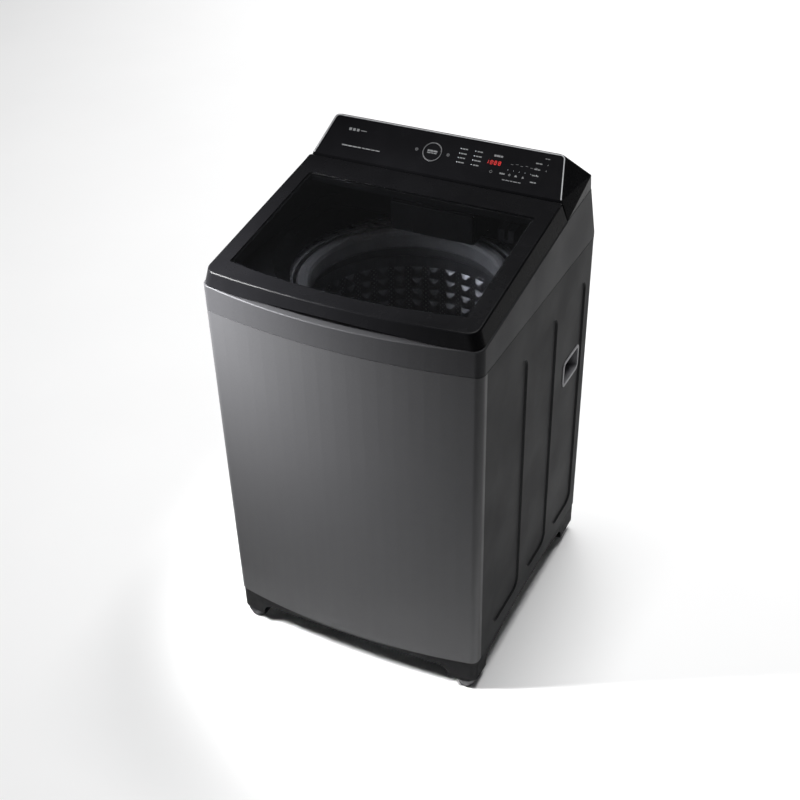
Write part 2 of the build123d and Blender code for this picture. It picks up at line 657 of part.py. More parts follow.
def hinge_ears():
    """Damped hinge brackets: an ear with the pin's bore, and a foot inside the console."""
    ears = []
    for side in (-1, 1):
        x = side * HINGE_X
        eye = Pos(x, HINGE.Y, HINGE.Z) * Rot(Y=90) * Cylinder(6.0, EAR_T)
        neck = box(x - EAR_T / 2, x + EAR_T / 2, HINGE.Y - 4, HINGE.Y + 4, ARM_Z, HINGE.Z)
        arm = box(x - EAR_T / 2, x + EAR_T / 2, HINGE.Y - 4, LID_REAR_Y + 30, ARM_Z, ARM_Z + 9)
        plate = box(x - 16, x + 16, LID_REAR_Y + 6, LID_REAR_Y + 46, ARM_Z + 2, ARM_Z + 26)
        ear = eye + neck + arm + plate
        ear -= Pos(x, HINGE.Y, HINGE.Z) * Rot(Y=90) * Cylinder(PIN_R + RUN_GAP, 60)
        ears.append(ear)
    return ears


STRIKE_X = 200.0


def lid_strike():
    """Hook under the lid's rear edge that enters the lock."""
    v = HINGE_V - 26
    stem = LID_PLANE * box(STRIKE_X - 2, STRIKE_X + 2, v - 7, v + 7, -44, -20)
    nose = LID_PLANE * box(STRIKE_X - 2, STRIKE_X + 2, v - 12, v + 7, -44, -38)
    pad = LID_PLANE * box(STRIKE_X - 12, STRIKE_X + 12, v - 9, v + 9, -22.4, -20.05)
    return stem + nose + pad


def lid_lock():
    """Lock housing hung under the console's floor, slotted for the strike."""
    z1 = DECK_Z - 1.0
    body = box(STRIKE_X - 18, STRIKE_X + 18, 74, LID_REAR_Y + 26, z1 - 42, z1 - 14)
    body += box(STRIKE_X - 18, STRIKE_X + 18, LID_REAR_Y + 2, LID_REAR_Y + 26, z1 - 20, z1)
    body -= box(STRIKE_X - 4, STRIKE_X + 4, 60, 128, z1 - 36, z1 + 10)
    return body


def lid_bumpers():
    pads = []
    for side in (-1, 1):
        pad = LID_PLANE * (Pos(side * 215, -LID_LEN + 34, -26.2) * Cylinder(5, 12.3))
        pads.append(pad & above_deck(LID_GAP - 1.8))
    return pads


# ---- detergent drawer --------------------------------------------------------------------------
def drawer_housing():
    deep = 268.0
    body = box(-DRAWER_W, DRAWER_W, DRAWER_Y, deep, DRAWER_Z0, DRAWER_Z1)
    body = fillet(body.edges().filter_by(Axis.Y), 6.0)
    body -= box(-DRAWER_W + 2.5, DRAWER_W - 2.5, DRAWER_Y - 1, deep - 2.5, DRAWER_Z0 + 2.5, DRAWER_Z1 - 2.5)
    body -= box(-40, 40, 190, 240, DRAWER_Z0 - 5, DRAWER_Z0 + 5)
    for x in (-60, 60):
        body += Pos(x, deep + 9, DRAWER_Z1 - 16) * Rot(X=90) * (Cylinder(7, 18) - Cylinder(5, 30))
    return body


def drawer_tray():
    w = DRAWER_W - 5.0
    z0 = DRAWER_Z0 + 4.0
    z1 = DRAWER_Z1 - 8.0
    y0 = DRAWER_Y + 1.0
    y1 = 250.0
    body = box(-w, w, y0, y1, z0, z1)
    body = fillet(body.edges().filter_by(Axis.Z).group_by(Axis.Y)[-1], 10)
    body -= fillet(box(-w + 2, 28, y0 + 2, y1 - 2, z0 + 2, z1 + 5).edges().filter_by(Axis.Z), 8)
    body -= fillet(box(30, w - 2, y0 + 2, y1 - 2, z0 + 2, z1 + 5).edges().filter_by(Axis.Z), 8)
    body += tube(2.5, 4.5, z0 + 1, z1 - 16, 63, 225)
    return body


def drawer_front():
    w = DRAWER_W - 3.0
    body = box(-w, w, DRAWER_Y - 6, DRAWER_Y + 1.0, DRAWER_Z0 + 3.0, DRAWER_Z1 - 3.0)
    body = fillet(body.edges().filter_by(Axis.Y), 5.0)
    body = fillet(body.faces().sort_by(Axis.Y)[0].edges(), 2.0)
    grip = Pos(0, DRAWER_Y - 6, DRAWER_Z0 + 3) * Rot(Y=90) * Cylinder(9, 90)
    return body - (grip & box(-45, 45, 0, DRAWER_Y - 2.5, 0, BIG))


def siphon_cap():
    z1 = DRAWER_Z1 - 8.0
    body = tube(6.2, 8.2, DRAWER_Z0 + 10, z1 - 10, 63, 225) + cyl(8.2, z1 - 11, z1 - 8, 63, 225)
    return body + (box(34, 92, 214, 236, z1 - 8, z1 - 5) - cyl(1.5, 0, BIG, 80, 225))


# ---- suspension ------------------------------------------------------------------------------------
ROD_TOP = 846.0


def suspension_rods():
    rods = []
    for x, y in corners():
        rod = cyl(ROD_R, SPRING_Z0 - 16, ROD_TOP, x, y)
        rod += Pos(x, y, ROD_TOP) * Sphere(8)
        rods.append(rod)
    return rods


def rod_end_caps():
    caps = []
    for x, y in corners():
        cap = cyl(24, SPRING_Z0 - 4, SPRING_Z0, x, y) + cyl(11, SPRING_Z0 - 14, SPRING_Z0 - 4, x, y)
        cap += tube(26, 28, SPRING_Z0 - 4, SPRING_Z0 + 5, x, y)
        cap += tube(24, 26, SPRING_Z0 - 4, SPRING_Z0, x, y)
        caps.append(cap - cyl(ROD_R, 0, BIG, x, y))
    return caps


def suspension_springs():
    springs = []
    height = SPRING_Z1 - SPRING_Z0
    wire = 1.6
    coil_r = 18.0
    for x, y in corners():
        path = Helix(pitch=(height - 2 * wire - 0.2) / 6, height=height - 2 * wire - 0.2, radius=coil_r)
        section = Plane(origin=path @ 0, z_dir=path % 0) * Circle(wire)
        coil = sweep(section, path=path, is_frenet=True)
        springs.append(Pos(x, y, SPRING_Z0 + wire + 0.1) * coil)
    return springs


def spring_caps():
    """Friction caps between the springs and the tub's lugs; they slide on the rods."""
    caps = []
    for x, y in corners():
        cap = cyl(22, SPRING_Z1, SPRING_Z1 + 4, x, y) + cyl(13, SPRING_Z1 + 4, SPRING_Z1 + 22, x, y)
        caps.append(cap - cyl(ROD_R + RUN_GAP, 0, BIG, x, y))
    return caps


def corner_brackets():
    """Pressed steel gussets in the cabinet's upper corners, with the rods' seats."""
    plates = []
    for x, y in corners():
        sx = math.copysign(1, x)
        sy = math.copysign(1, y)
        edge_y = FRONT_Y + BOW + 14 if sy < 0 else REAR_Y - SHEET
        far_x = sx * (HALF_W - SHEET - 0.1)
        corner = make_face(Polyline((far_x, edge_y), (far_x, sy * 185), (sx * 205, sy * 205),
                                    (sx * 185, edge_y), close=True))
        plate = Pos(0, 0, ROD_TOP - 10) * extrude(corner, 2.5)
        plate += Pos(x, y, ROD_TOP - 3.25) * (Cylinder(12, 8.5) - Sphere(8) - Cylinder(5, 20))
        plate -= cyl(5, ROD_TOP - 20, ROD_TOP, x, y)
        plate -= Pos(x, y, ROD_TOP) * Sphere(8.0)
        plates.append(plate & prism(SHEET + 2.7, 0, BIG))
    return plates


# ---- tub ---------------------------------------------------------------------------------------------
BEAR_OUT = 31.0
SPIN_R = 16.0             # spin tube, outside
DRIVE_R = 9.0             # pulsator shaft
BOLT_PCR = 66.0           # bolt circle radius of the bearing housing


def outer_tub():
    body = revolved([(BEAR_OUT + 24, TUB_Z0), (TUB_R - 14, TUB_Z0), (TUB_R, TUB_Z0 + 14), (TUB_R + 2, TUB_Z1),
                     (TUB_R - 1, TUB_Z1), (TUB_R - 3, TUB_Z0 + 15), (TUB_R - 15.5, TUB_Z0 + 3.5),
                     (BEAR_OUT + 24, TUB_Z0 + 3.5)])
    for z in (380, 520, 660, 800):
        body += tube(TUB_R - 1, TUB_R + 7, z, z + 3)
    body += tube(TUB_R - 1, TUB_R + 8, TUB_Z1 - 4, TUB_Z1)
    for k in range(12):
        rib = Rot(Z=30 * k) * box(60, TUB_R - 12, -1.5, 1.5, TUB_Z0 - 14, TUB_Z0 + 1)
        body += rib
    inner = cyl(TUB_R - 2.5, TUB_Z0 + 16, BIG)
    for x, y in corners():
        angle = math.degrees(math.atan2(y, x))
        reach = math.hypot(x, y)
        lug = Rot(Z=angle) * box(TUB_R - 6, reach + 20, -24, 24, SPRING_Z1 + 4, SPRING_Z1 + 26)
        lug -= inner
        lug -= cyl(13, SPRING_Z1, SPRING_Z1 + 22, x, y)
        lug -= cyl(ROD_R + 4, 0, BIG, x, y)
        body += lug
    body -= cyl(16, TUB_Z0 - 20, TUB_Z0 + 10, PUMP[0], PUMP[1])
    return body


PUMP = (150.0, 130.0)


def tub_cover():
    return revolved([(240, TUB_Z1 + 6), (240, TUB_Z1 + 11), (243, TUB_Z1 + 12), (TUB_R + 4, TUB_Z1 + 8),
                     (TUB_R + 10, TUB_Z1 + 4), (TUB_R + 10, TUB_Z1 - 8), (TUB_R + 8.2, TUB_Z1 - 8),
                     (TUB_R + 8.2, TUB_Z1 + 0.1), (TUB_R - 4, TUB_Z1 + 0.1), (TUB_R - 6, TUB_Z1 + 4)])


def bearing_housing():
    """Cast housing bolted under the tub; it carries both bearings and the stator."""
    body = cyl(96, TUB_Z0 - 22, TUB_Z0 - 14.1) + cyl(44, TUB_Z0 - 70, TUB_Z0 - 14.1)
    body += cyl(BEAR_OUT + 23.8, TUB_Z0 - 15, TUB_Z0 + 2)
    body -= cyl(SPIN_R + 6, TUB_Z0 - 90, TUB_Z0 + 20)
    body -= cyl(BEAR_OUT, TUB_Z0 - 71, TUB_Z0 - 54)
    body -= cyl(BEAR_OUT, TUB_Z0 - 22, TUB_Z0 - 6)
    body -= cyl(SPIN_R + 11, TUB_Z0 - 6.1, TUB_Z0 + 20)
    for k in range(6):
        body -= Rot(Z=60 * k) * cyl(3.5, 0, BIG, BOLT_PCR, 0)
    return body


def shaft_bearings():
    low = tube(SPIN_R + RUN_GAP, BEAR_OUT, TUB_Z0 - 71, TUB_Z0 - 54)
    high = tube(SPIN_R + RUN_GAP, BEAR_OUT, TUB_Z0 - 22, TUB_Z0 - 6)
    return [low, high]


def shaft_seal():
    return tube(SPIN_R + RUN_GAP, SPIN_R + 11, TUB_Z0 - 6, TUB_Z0 + 2)


STATOR_N = 18


def stator():
    z0 = TUB_Z0 - 58
    core = tube(52, 78, z0, z0 + 30)
    core += tube(44.1, 53, z0 + 10, z0 + 20)
    for k in range(STATOR_N):
        core += Rot(Z=360 / STATOR_N * k) * box(76, 112, -5, 5, z0 + 3, z0 + 27)
    return core


def stator_coils():
    z0 = TUB_Z0 - 58
    coils = []
    for k in range(STATOR_N):
        coil = box(82, 106, -10, 10, z0 - 3, z0 + 33) - box(80, 110, -5.05, 5.05, z0 + 2.9, z0 + 27.1)
        coils.append(Rot(Z=360 / STATOR_N * k) * coil)
    return coils


def drain_pump():
    x, y = PUMP
    z1 = TUB_Z0 + 3.4
    body = cyl(15.9, z1 - 24, z1, x, y) + cyl(34, z1 - 62, z1 - 24, x, y)
    body += box(x - 22, x + 22, y - 30, y + 30, z1 - 102, z1 - 62)
    body -= cyl(12, z1 - 40, z1 + 5, x, y)
    spout = Pos(x + 8, y + 52, z1 - 44) * Rot(X=90) * (Cylinder(11, 44) - Cylinder(8.5, 60))
    return body + spout


def tub_bolts():
    bolts = []
    for k in range(6):
        bolt = cyl(3.4, TUB_Z0 - 26, TUB_Z0 - 14.2, BOLT_PCR, 0)
        bolt += Pos(BOLT_PCR, 0, TUB_Z0 - 27) * extrude(RegularPolygon(6.5, 6), 4.9)
        bolts.append(Rot(Z=60 * k) * bolt)
    return bolts


# ---- drum ----------------------------------------------------------------------------------------------
def drum_wall():
    body = revolved([(DRUM_R, DRUM_Z0 + 2), (DRUM_R + 1, DRUM_Z0 + 2), (DRUM_R + 1, DRUM_Z1), (DRUM_R, DRUM_Z1)])
    slots = None
    for k in range(18):
        row = None
        for j in range(7):
            hole = Pos(DRUM_R, 0, 390 + 62 * j) * Rot(Y=90) * Cylinder(3.0, 12)
            row = hole if row is None else row + hole
        turned = Rot(Z=20 * k + 5) * row
        slots = turned if slots is None else slots + turned
    return body - slots


def drum_base():
    """Moulded drum floor with its hub, shallow dish under the pulsator."""
    body = revolved([(SPIN_R, DRUM_Z0 - 12), (120, DRUM_Z0 - 12), (DRUM_R - 30, DRUM_Z0 - 6),
                     (DRUM_R - 1, DRUM_Z0 + 1.9), (DRUM_R + 1, DRUM_Z0 + 1.9), (DRUM_R + 4, DRUM_Z0 - 2),
                     (DRUM_R + 4, DRUM_Z0 + 16), (DRUM_R + 1.1, DRUM_Z0 + 16), (DRUM_R + 1.1, DRUM_Z0 + 2),
                     (DRUM_R - 0.1, DRUM_Z0 + 2), (DRUM_R - 0.1, DRUM_Z0 + 22), (DRUM_R - 4, DRUM_Z0 + 20),
                     (195, DRUM_Z0 + 2), (120, DRUM_Z0 - 4), (SPIN_R, DRUM_Z0 - 4)])
    return body


def balance_ring():
    """Sealed liquid-filled ring at the drum's mouth, with a smooth inner skirt."""
    return revolved([(RING_IN, RING_Z1 - 10), (RING_IN + 3, RING_Z1 - 3), (RING_IN + 10, RING_Z1),
                     (DRUM_R - 6, RING_Z1), (DRUM_R - 2, RING_Z1 - 3), (DRUM_R - 0.2, RING_Z1 - 8),
                     (DRUM_R - 0.2, 784), (DRUM_R - 5, 780), (DRUM_R - 9, 784), (RING_IN + 4, RING_Z1 - 44),
                     (RING_IN, RING_Z1 - 40)])


def spin_shaft():
    """Hollow spin shaft that carries the drum."""
    body = tube(DRIVE_R + RUN_GAP, SPIN_R, TUB_Z0 - 76, DRUM_Z0 - 4)
    return body + tube(SPIN_R, 60, DRUM_Z0 - 18, DRUM_Z0 - 12.05)


# ---- pulsator and rotor ------------------------------------------------------------------------------
PULS_Z = 324.0


def pulsator_plate():
    """Wash plate: dished disc with six curved vanes and a raised hub."""
    body = revolved([(0, PULS_Z + 4), (DRIVE_R, PULS_Z + 4), (DRIVE_R, PULS_Z), (40, PULS_Z), (172, PULS_Z + 3),
                     (184, PULS_Z + 10), (184, PULS_Z + 14), (172, PULS_Z + 9), (150, PULS_Z + 6),
                     (46, PULS_Z + 10), (34, PULS_Z + 30), (20, PULS_Z + 34), (0, PULS_Z + 34)])
    for k in range(6):
        vane = Pos(0, 0, PULS_Z + 3) * extrude(make_face(Spline((30, -7), (90, -20), (168, -9))
                                               + Line((168, -9), (170, 7))
                                               + Spline((170, 7), (95, 2), (30, 9)) + Line((30, 9), (30, -7))), 30)
        slope = Pos(0, 0, PULS_Z + 34) * Rot(Y=5) * box(0, 260, -60, 60, 0, 60)
        body += Rot(Z=60 * k) * (vane - slope)
    return body


def drive_shaft():
    body = cyl(DRIVE_R, TUB_Z0 - 88, PULS_Z + 4)
    return body - cyl(3.0, PULS_Z - 16, PULS_Z + 5)


def rotor_cup():
    """Outer rotor of the direct drive with its ring of magnets."""
    z0 = TUB_Z0 - 84
    body = tube(DRIVE_R, 30, z0 - 1, z0 + 6) + tube(28, 124, z0, z0 + 3) + tube(121, 124, z0, z0 + 64)
    for k in range(6):
        body -= Rot(Z=60 * k) * cyl(12, z0 - 1, z0 + 5, 76, 0)
    for k in range(24):
        magnet = Rot(Z=15 * k) * box(113.5, 121.2, -12, 12, z0 + 22, z0 + 58)
        body += magnet
    return body


def rotor_nut():
    nut = Pos(0, 0, TUB_Z0 - 95) * extrude(RegularPolygon(15, 6), 9.9)
    return nut - cyl(DRIVE_R, 0, TUB_Z0 - 80)


# ---- fasteners -------------------------------------------------------------------------------------------
def cabinet_screws():
    """Flush screws along both edges of the rear panel."""
    screws = []
    for x, z in SCREW_AT:
        head = Pos(x, REAR_Y - 1.1, z) * Rot(X=90) * Cylinder(3.5, 2.0)
        shank = Pos(x, REAR_Y - 5.5, z) * Rot(X=90) * Cylinder(1.6, 9.0)
        screws.append(head + shank)
    return screws


def save(name, shape):
    if isinstance(shape, (list, tuple)):
        shape = Compound(children=[s for item in shape for s in item.solids()])
    export_step(shape, f"parts/{name}.step")


def main():
    os.makedirs("parts", exist_ok=True)
    parts = {
        "base_frame": base_frame, "foot_locknuts": foot_locknuts,
        "front_panel": front_panel, "side_panel_left": lambda: side_panel(-1),
        "side_panel_right": lambda: side_panel(1), "handle_cup_left": lambda: handle_cup(-1),
        "handle_cup_right": lambda: handle_cup(1), "rear_panel": rear_panel,
        "drain_outlet": drain_outlet, "top_cover": top_cover, "well_liner": well_liner,
        "water_nozzle": water_nozzle, "console_housing": console_housing,
        "control_panel": control_panel, "console_trim": console_trim,
        "selector_ring": selector_ring, "start_button": start_button, "main_board": main_board,
        "inlet_valves": lambda: [inlet_valve(x, z) for x, z in VALVE_AT],
        "power_gland": power_gland, "hinge_brackets": hinge_ears, "lid_lock": lid_lock,
        "lid_frame": lid_frame, "lid_inner_frame": lid_inner_frame, "lid_glass": lid_glass,
        "lid_hinge_pins": lid_hinge_pins, "lid_strike": lid_strike, "lid_bumpers": lid_bumpers,
        "drawer_housing": drawer_housing, "drawer_tray": drawer_tray,
        "drawer_front": drawer_front, "siphon_cap": siphon_cap,
        "suspension_rods": suspension_rods, "rod_end_caps": rod_end_caps,
        "suspension_springs": suspension_springs, "spring_caps": spring_caps,
        "corner_brackets": corner_brackets, "outer_tub": outer_tub, "tub_cover": tub_cover,
        "bearing_housing": bearing_housing, "shaft_bearings": shaft_bearings,
        "shaft_seal": shaft_seal, "stator": stator, "stator_coils": stator_coils,
        "drain_pump": drain_pump, "tub_bolts": tub_bolts, "drum_wall": drum_wall,
        "drum_base": drum_base, "balance_ring": balance_ring, "spin_shaft": spin_shaft,
        "pulsator_plate": pulsator_plate, "drive_shaft": drive_shaft, "rotor_cup": rotor_cup,
        "rotor_nut": rotor_nut, "cabinet_screws": cabinet_screws,
    }
    for name, make in parts.items():
        save(name, make())
    for corner, (x, y) in feet_places().items():
        save("foot_" + corner, foot(x, y))


main()
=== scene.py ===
import json
import math

import bmesh
import bpy
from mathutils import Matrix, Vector


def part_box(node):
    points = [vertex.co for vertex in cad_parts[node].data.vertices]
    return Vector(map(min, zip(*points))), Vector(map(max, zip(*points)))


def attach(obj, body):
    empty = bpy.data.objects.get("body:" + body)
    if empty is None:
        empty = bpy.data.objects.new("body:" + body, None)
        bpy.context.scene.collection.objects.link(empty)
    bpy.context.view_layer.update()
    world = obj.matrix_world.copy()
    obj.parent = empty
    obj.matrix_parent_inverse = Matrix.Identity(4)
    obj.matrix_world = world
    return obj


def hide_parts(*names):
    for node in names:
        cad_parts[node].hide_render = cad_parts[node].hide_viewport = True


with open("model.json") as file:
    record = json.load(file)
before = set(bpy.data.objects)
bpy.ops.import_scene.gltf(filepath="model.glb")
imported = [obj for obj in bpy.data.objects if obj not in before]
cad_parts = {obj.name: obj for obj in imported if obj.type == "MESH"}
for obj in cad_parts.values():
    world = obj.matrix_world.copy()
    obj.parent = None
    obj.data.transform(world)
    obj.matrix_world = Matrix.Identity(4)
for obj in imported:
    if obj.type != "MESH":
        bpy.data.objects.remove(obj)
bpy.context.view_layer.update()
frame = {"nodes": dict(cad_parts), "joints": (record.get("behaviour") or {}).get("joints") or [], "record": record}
MM = 0.001

# ---- places that come from the frame ----------------------------------------------------------
WALL_LO, WALL_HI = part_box("drum_wall")
NODE_SLOT = {s["node"]: s["material_slot"] for s in frame["record"]["subparts"]}
SELECTOR = next(j for j in frame["joints"] if j["name"] == "selector_turn")
SELECTOR_AXIS = Vector(SELECTOR["axis"]).normalized()


# ---- node helpers -----------------------------------------------------------------------------
class Shader:
    """One Principled material with a few procedural layers."""

    def __init__(self, name, color, rough, metallic=0.0, **sockets):
        self.mat = bpy.data.materials.new(name)
        self.mat.use_nodes = True
        self.nt = self.mat.node_tree
        self.bsdf = self.nt.nodes["Principled BSDF"]
        self.color = color
        self.set("Base Color", (*color, 1.0))
        self.set("Roughness", rough)
        self.set("Metallic", metallic)
        for key, value in sockets.items():
            self.set(key.replace("_", " ").title().replace("Ior", "IOR"), value)
        self.coord = self.nt.nodes.new("ShaderNodeTexCoord")
        self.height = None

    def set(self, socket, value):
        self.bsdf.inputs[socket].default_value = value

    def link(self, a, b):
        self.nt.links.new(a, b)

    def mapped(self, scale=(1, 1, 1), rotation=(0, 0, 0)):
        node = self.nt.nodes.new("ShaderNodeMapping")
        node.inputs["Scale"].default_value = scale
        node.inputs["Rotation"].default_value = rotation
        self.link(self.coord.outputs["Object"], node.inputs["Vector"])
        return node.outputs["Vector"]

    def noise(self, scale, detail=2.0, rough=0.5, vector=None):
        node = self.nt.nodes.new("ShaderNodeTexNoise")
        node.inputs["Scale"].default_value = scale
        node.inputs["Detail"].default_value = detail
        node.inputs["Roughness"].default_value = rough
        self.link(vector or self.coord.outputs["Object"], node.inputs["Vector"])
        return node.outputs["Fac"]

    def cells(self, scale, feature="F1", output="Distance"):
        node = self.nt.nodes.new("ShaderNodeTexVoronoi")
        node.feature = feature
        node.inputs["Scale"].default_value = scale
        self.link(self.coord.outputs["Object"], node.inputs["Vector"])
        return node.outputs[output]

    def spread(self, value, low, high, out_low, out_high):
        node = self.nt.nodes.new("ShaderNodeMapRange")
        for key, number in (("From Min", low), ("From Max", high), ("To Min", out_low), ("To Max", out_high)):
            node.inputs[key].default_value = number
        self.link(value, node.inputs["Value"])
        return node.outputs["Result"]

    def vary_color(self, value, low=0.4, high=0.6, dark=0.9, light=1.1):
        """The colour wanders between a darker and a lighter shade of itself."""
        ramp = self.nt.nodes.new("ShaderNodeValToRGB")
        ramp.color_ramp.elements[0].position = low
        ramp.color_ramp.elements[1].position = high
        ramp.color_ramp.elements[0].color = (*[c * dark for c in self.color], 1)
        ramp.color_ramp.elements[1].color = (*[min(1, c * light) for c in self.color], 1)
        self.link(value, ramp.inputs["Fac"])
        self.link(ramp.outputs["Color"], self.bsdf.inputs["Base Color"])
        return self

    def vary_rough(self, value, low, high, start=0.35, end=0.65):
        self.link(self.spread(value, start, end, low, high), self.bsdf.inputs["Roughness"])
        return self

    def bump(self, value, distance, strength=1.0):
        node = self.nt.nodes.new("ShaderNodeBump")
        node.inputs["Strength"].default_value = strength
        node.inputs["Distance"].default_value = distance
        self.link(value, node.inputs["Height"])
        if self.height is not None:
            self.link(self.height, node.inputs["Normal"])
        self.height = node.outputs["Normal"]
        self.link(self.height, self.bsdf.inputs["Normal"])
        return self


# ---- materials --------------------------------------------------------------------------------
def paint(name, color, rough, metallic=0.35, gloss_level=0.22):
    """Satin stoved paint: metal flake, slight orange peel, uneven sheen."""
    s = Shader(name, color, rough, metallic, specular_ior_level=gloss_level)
    s.vary_color(s.cells(1900, output="Color"), 0.2, 0.8, 0.88, 1.14)
    s.vary_rough(s.noise(7, 3), rough - 0.03, rough + 0.04)
    s.bump(s.noise(420, 2), 0.00006, 0.5)
    return s.mat


def moulded(name, color, rough, grain=900, depth=0.00008, level=0.45):
    """Moulded plastic with a fine spark-eroded grain."""
    s = Shader(name, color, rough, specular_ior_level=level)
    s.vary_color(s.noise(26, 4), 0.35, 0.65, 0.9, 1.12)
    s.vary_rough(s.noise(60, 3), rough - 0.05, rough + 0.06)
    s.bump(s.noise(grain, 3, 0.6), depth, 0.6)
    return s.mat


def gloss(name, color, rough, level):
    """Polished black plastic: faint swirl and wipe marks in its gloss."""
    s = Shader(name, color, rough, specular_ior_level=level)
    s.vary_color(s.noise(9, 3), 0.35, 0.65, 0.92, 1.1)
    s.vary_rough(s.noise(18, 5, 0.6), rough, rough + 0.05)
    s.bump(s.noise(35, 2), 0.00003, 0.35)
    return s.mat


def rolled_metal(name, color, rough, stretch=(400, 400, 8), metallic=1.0, depth=0.00002):
    """Rolled or ground metal with fine lines along one direction."""
    s = Shader(name, color, rough, metallic)
    lines = s.noise(1.0, 3, 0.6, s.mapped(stretch))
    s.vary_color(lines, 0.35, 0.65, 0.86, 1.1)
    s.vary_rough(lines, rough - 0.05, rough + 0.1)
    s.bump(lines, depth, 0.5)
    return s.mat


def zinc(name, color, rough=0.38):
    """Galvanised sheet: spangle cells of differing brightness."""
    s = Shader(name, color, rough, 0.9)
    s.vary_color(s.cells(130, output="Color"), 0.1, 0.9, 0.82, 1.14)
    s.vary_rough(s.cells(130, output="Color"), rough - 0.08, rough + 0.12, 0.1, 0.9)
    s.bump(s.noise(300, 2), 0.00004, 0.4)
    return s.mat


def cast(name, color, rough=0.5):
    """Sand or die cast metal: lumpy skin with pores."""
    s = Shader(name, color, rough, 0.95)
    s.vary_color(s.noise(90, 4), 0.3, 0.7, 0.8, 1.12)
    s.vary_rough(s.noise(140, 3), rough - 0.08, rough + 0.12)
    s.bump(s.noise(500, 4, 0.6), 0.00025, 0.7)
    return s.mat


def rubber(name, color, rough=0.62):
    s = Shader(name, color, rough, specular_ior_level=0.35)
    s.vary_color(s.noise(70, 4), 0.35, 0.65, 0.85, 1.25)
    s.vary_rough(s.noise(110, 3), rough - 0.08, rough + 0.1)
    s.bump(s.noise(1300, 3), 0.0001, 0.7)
    return s.mat


def windings(name, color):
    """Enamelled copper wire laid in turns."""
    s = Shader(name, color, 0.28, 0.85)
    wave = s.nt.nodes.new("ShaderNodeTexWave")
    wave.bands_direction = "Z"
    wave.inputs["Scale"].default_value = 160
    wave.inputs["Distortion"].default_value = 0.4
    s.link(s.coord.outputs["Object"], wave.inputs["Vector"])
    s.vary_color(wave.outputs["Fac"], 0.1, 0.9, 0.55, 1.15)
    s.bump(wave.outputs["Fac"], 0.0004, 0.8)
    return s.mat


def board(name, color):
    """Circuit board: solder mask with a hint of tracks under it."""
    s = Shader(name, color, 0.3)
    s.vary_color(s.cells(220, "DISTANCE_TO_EDGE"), 0.02, 0.08, 1.9, 0.9)
    s.bump(s.cells(220, "DISTANCE_TO_EDGE"), 0.00008, 0.5)
    return s.mat


def laminations(name, color):
    s = Shader(name, color, 0.45, 0.8)
    wave = s.nt.nodes.new("ShaderNodeTexWave")
    wave.bands_direction = "Z"
    wave.inputs["Scale"].default_value = 620
    s.link(s.coord.outputs["Object"], wave.inputs["Vector"])
    s.vary_color(wave.outputs["Fac"], 0.1, 0.6, 0.5, 1.1)
    s.bump(wave.outputs["Fac"], 0.0002, 0.8)
    return s.mat


def smoked_glass(name, tint):
    """Clear tinted pane; lamps shine through it so that the well is lit."""
    s = Shader(name, tint, 0.0, transmission_weight=1.0, ior=1.46)
    s.bump(s.noise(6, 1), 0.00001, 0.05)
    clear = s.nt.nodes.new("ShaderNodeBsdfTransparent")
    clear.inputs["Color"].default_value = (*[0.9 * c for c in tint], 1)
    path = s.nt.nodes.new("ShaderNodeLightPath")
    mix = s.nt.nodes.new("ShaderNodeMixShader")
    s.link(path.outputs["Is Shadow Ray"], mix.inputs["Fac"])
    s.link(s.bsdf.outputs["BSDF"], mix.inputs[1])
    s.link(clear.outputs["BSDF"], mix.inputs[2])
    s.link(mix.outputs["Shader"], s.nt.nodes["Material Output"].inputs["Surface"])
    return s.mat


def glow(name, color, power):
    s = Shader(name, color, 0.4, emission_color=(*color, 1), emission_strength=power)
    s.vary_rough(s.noise(900, 2), 0.35, 0.5)
    return s.mat


def ink(name, color):
    """Screen-printed ink on the panel."""
    s = Shader(name, color, 0.45)
    s.vary_color(s.noise(3000, 2), 0.3, 0.7, 0.9, 1.05)
    s.bump(s.noise(4000, 2), 0.00002, 0.4)
    return s.mat


def floor_finish(name, color):
    s = Shader(name, color, 0.75)
    s.vary_color(s.noise(2.5, 4), 0.3, 0.7, 0.985, 1.0)
    s.bump(s.noise(160, 3), 0.0002, 0.2)
    return s.mat


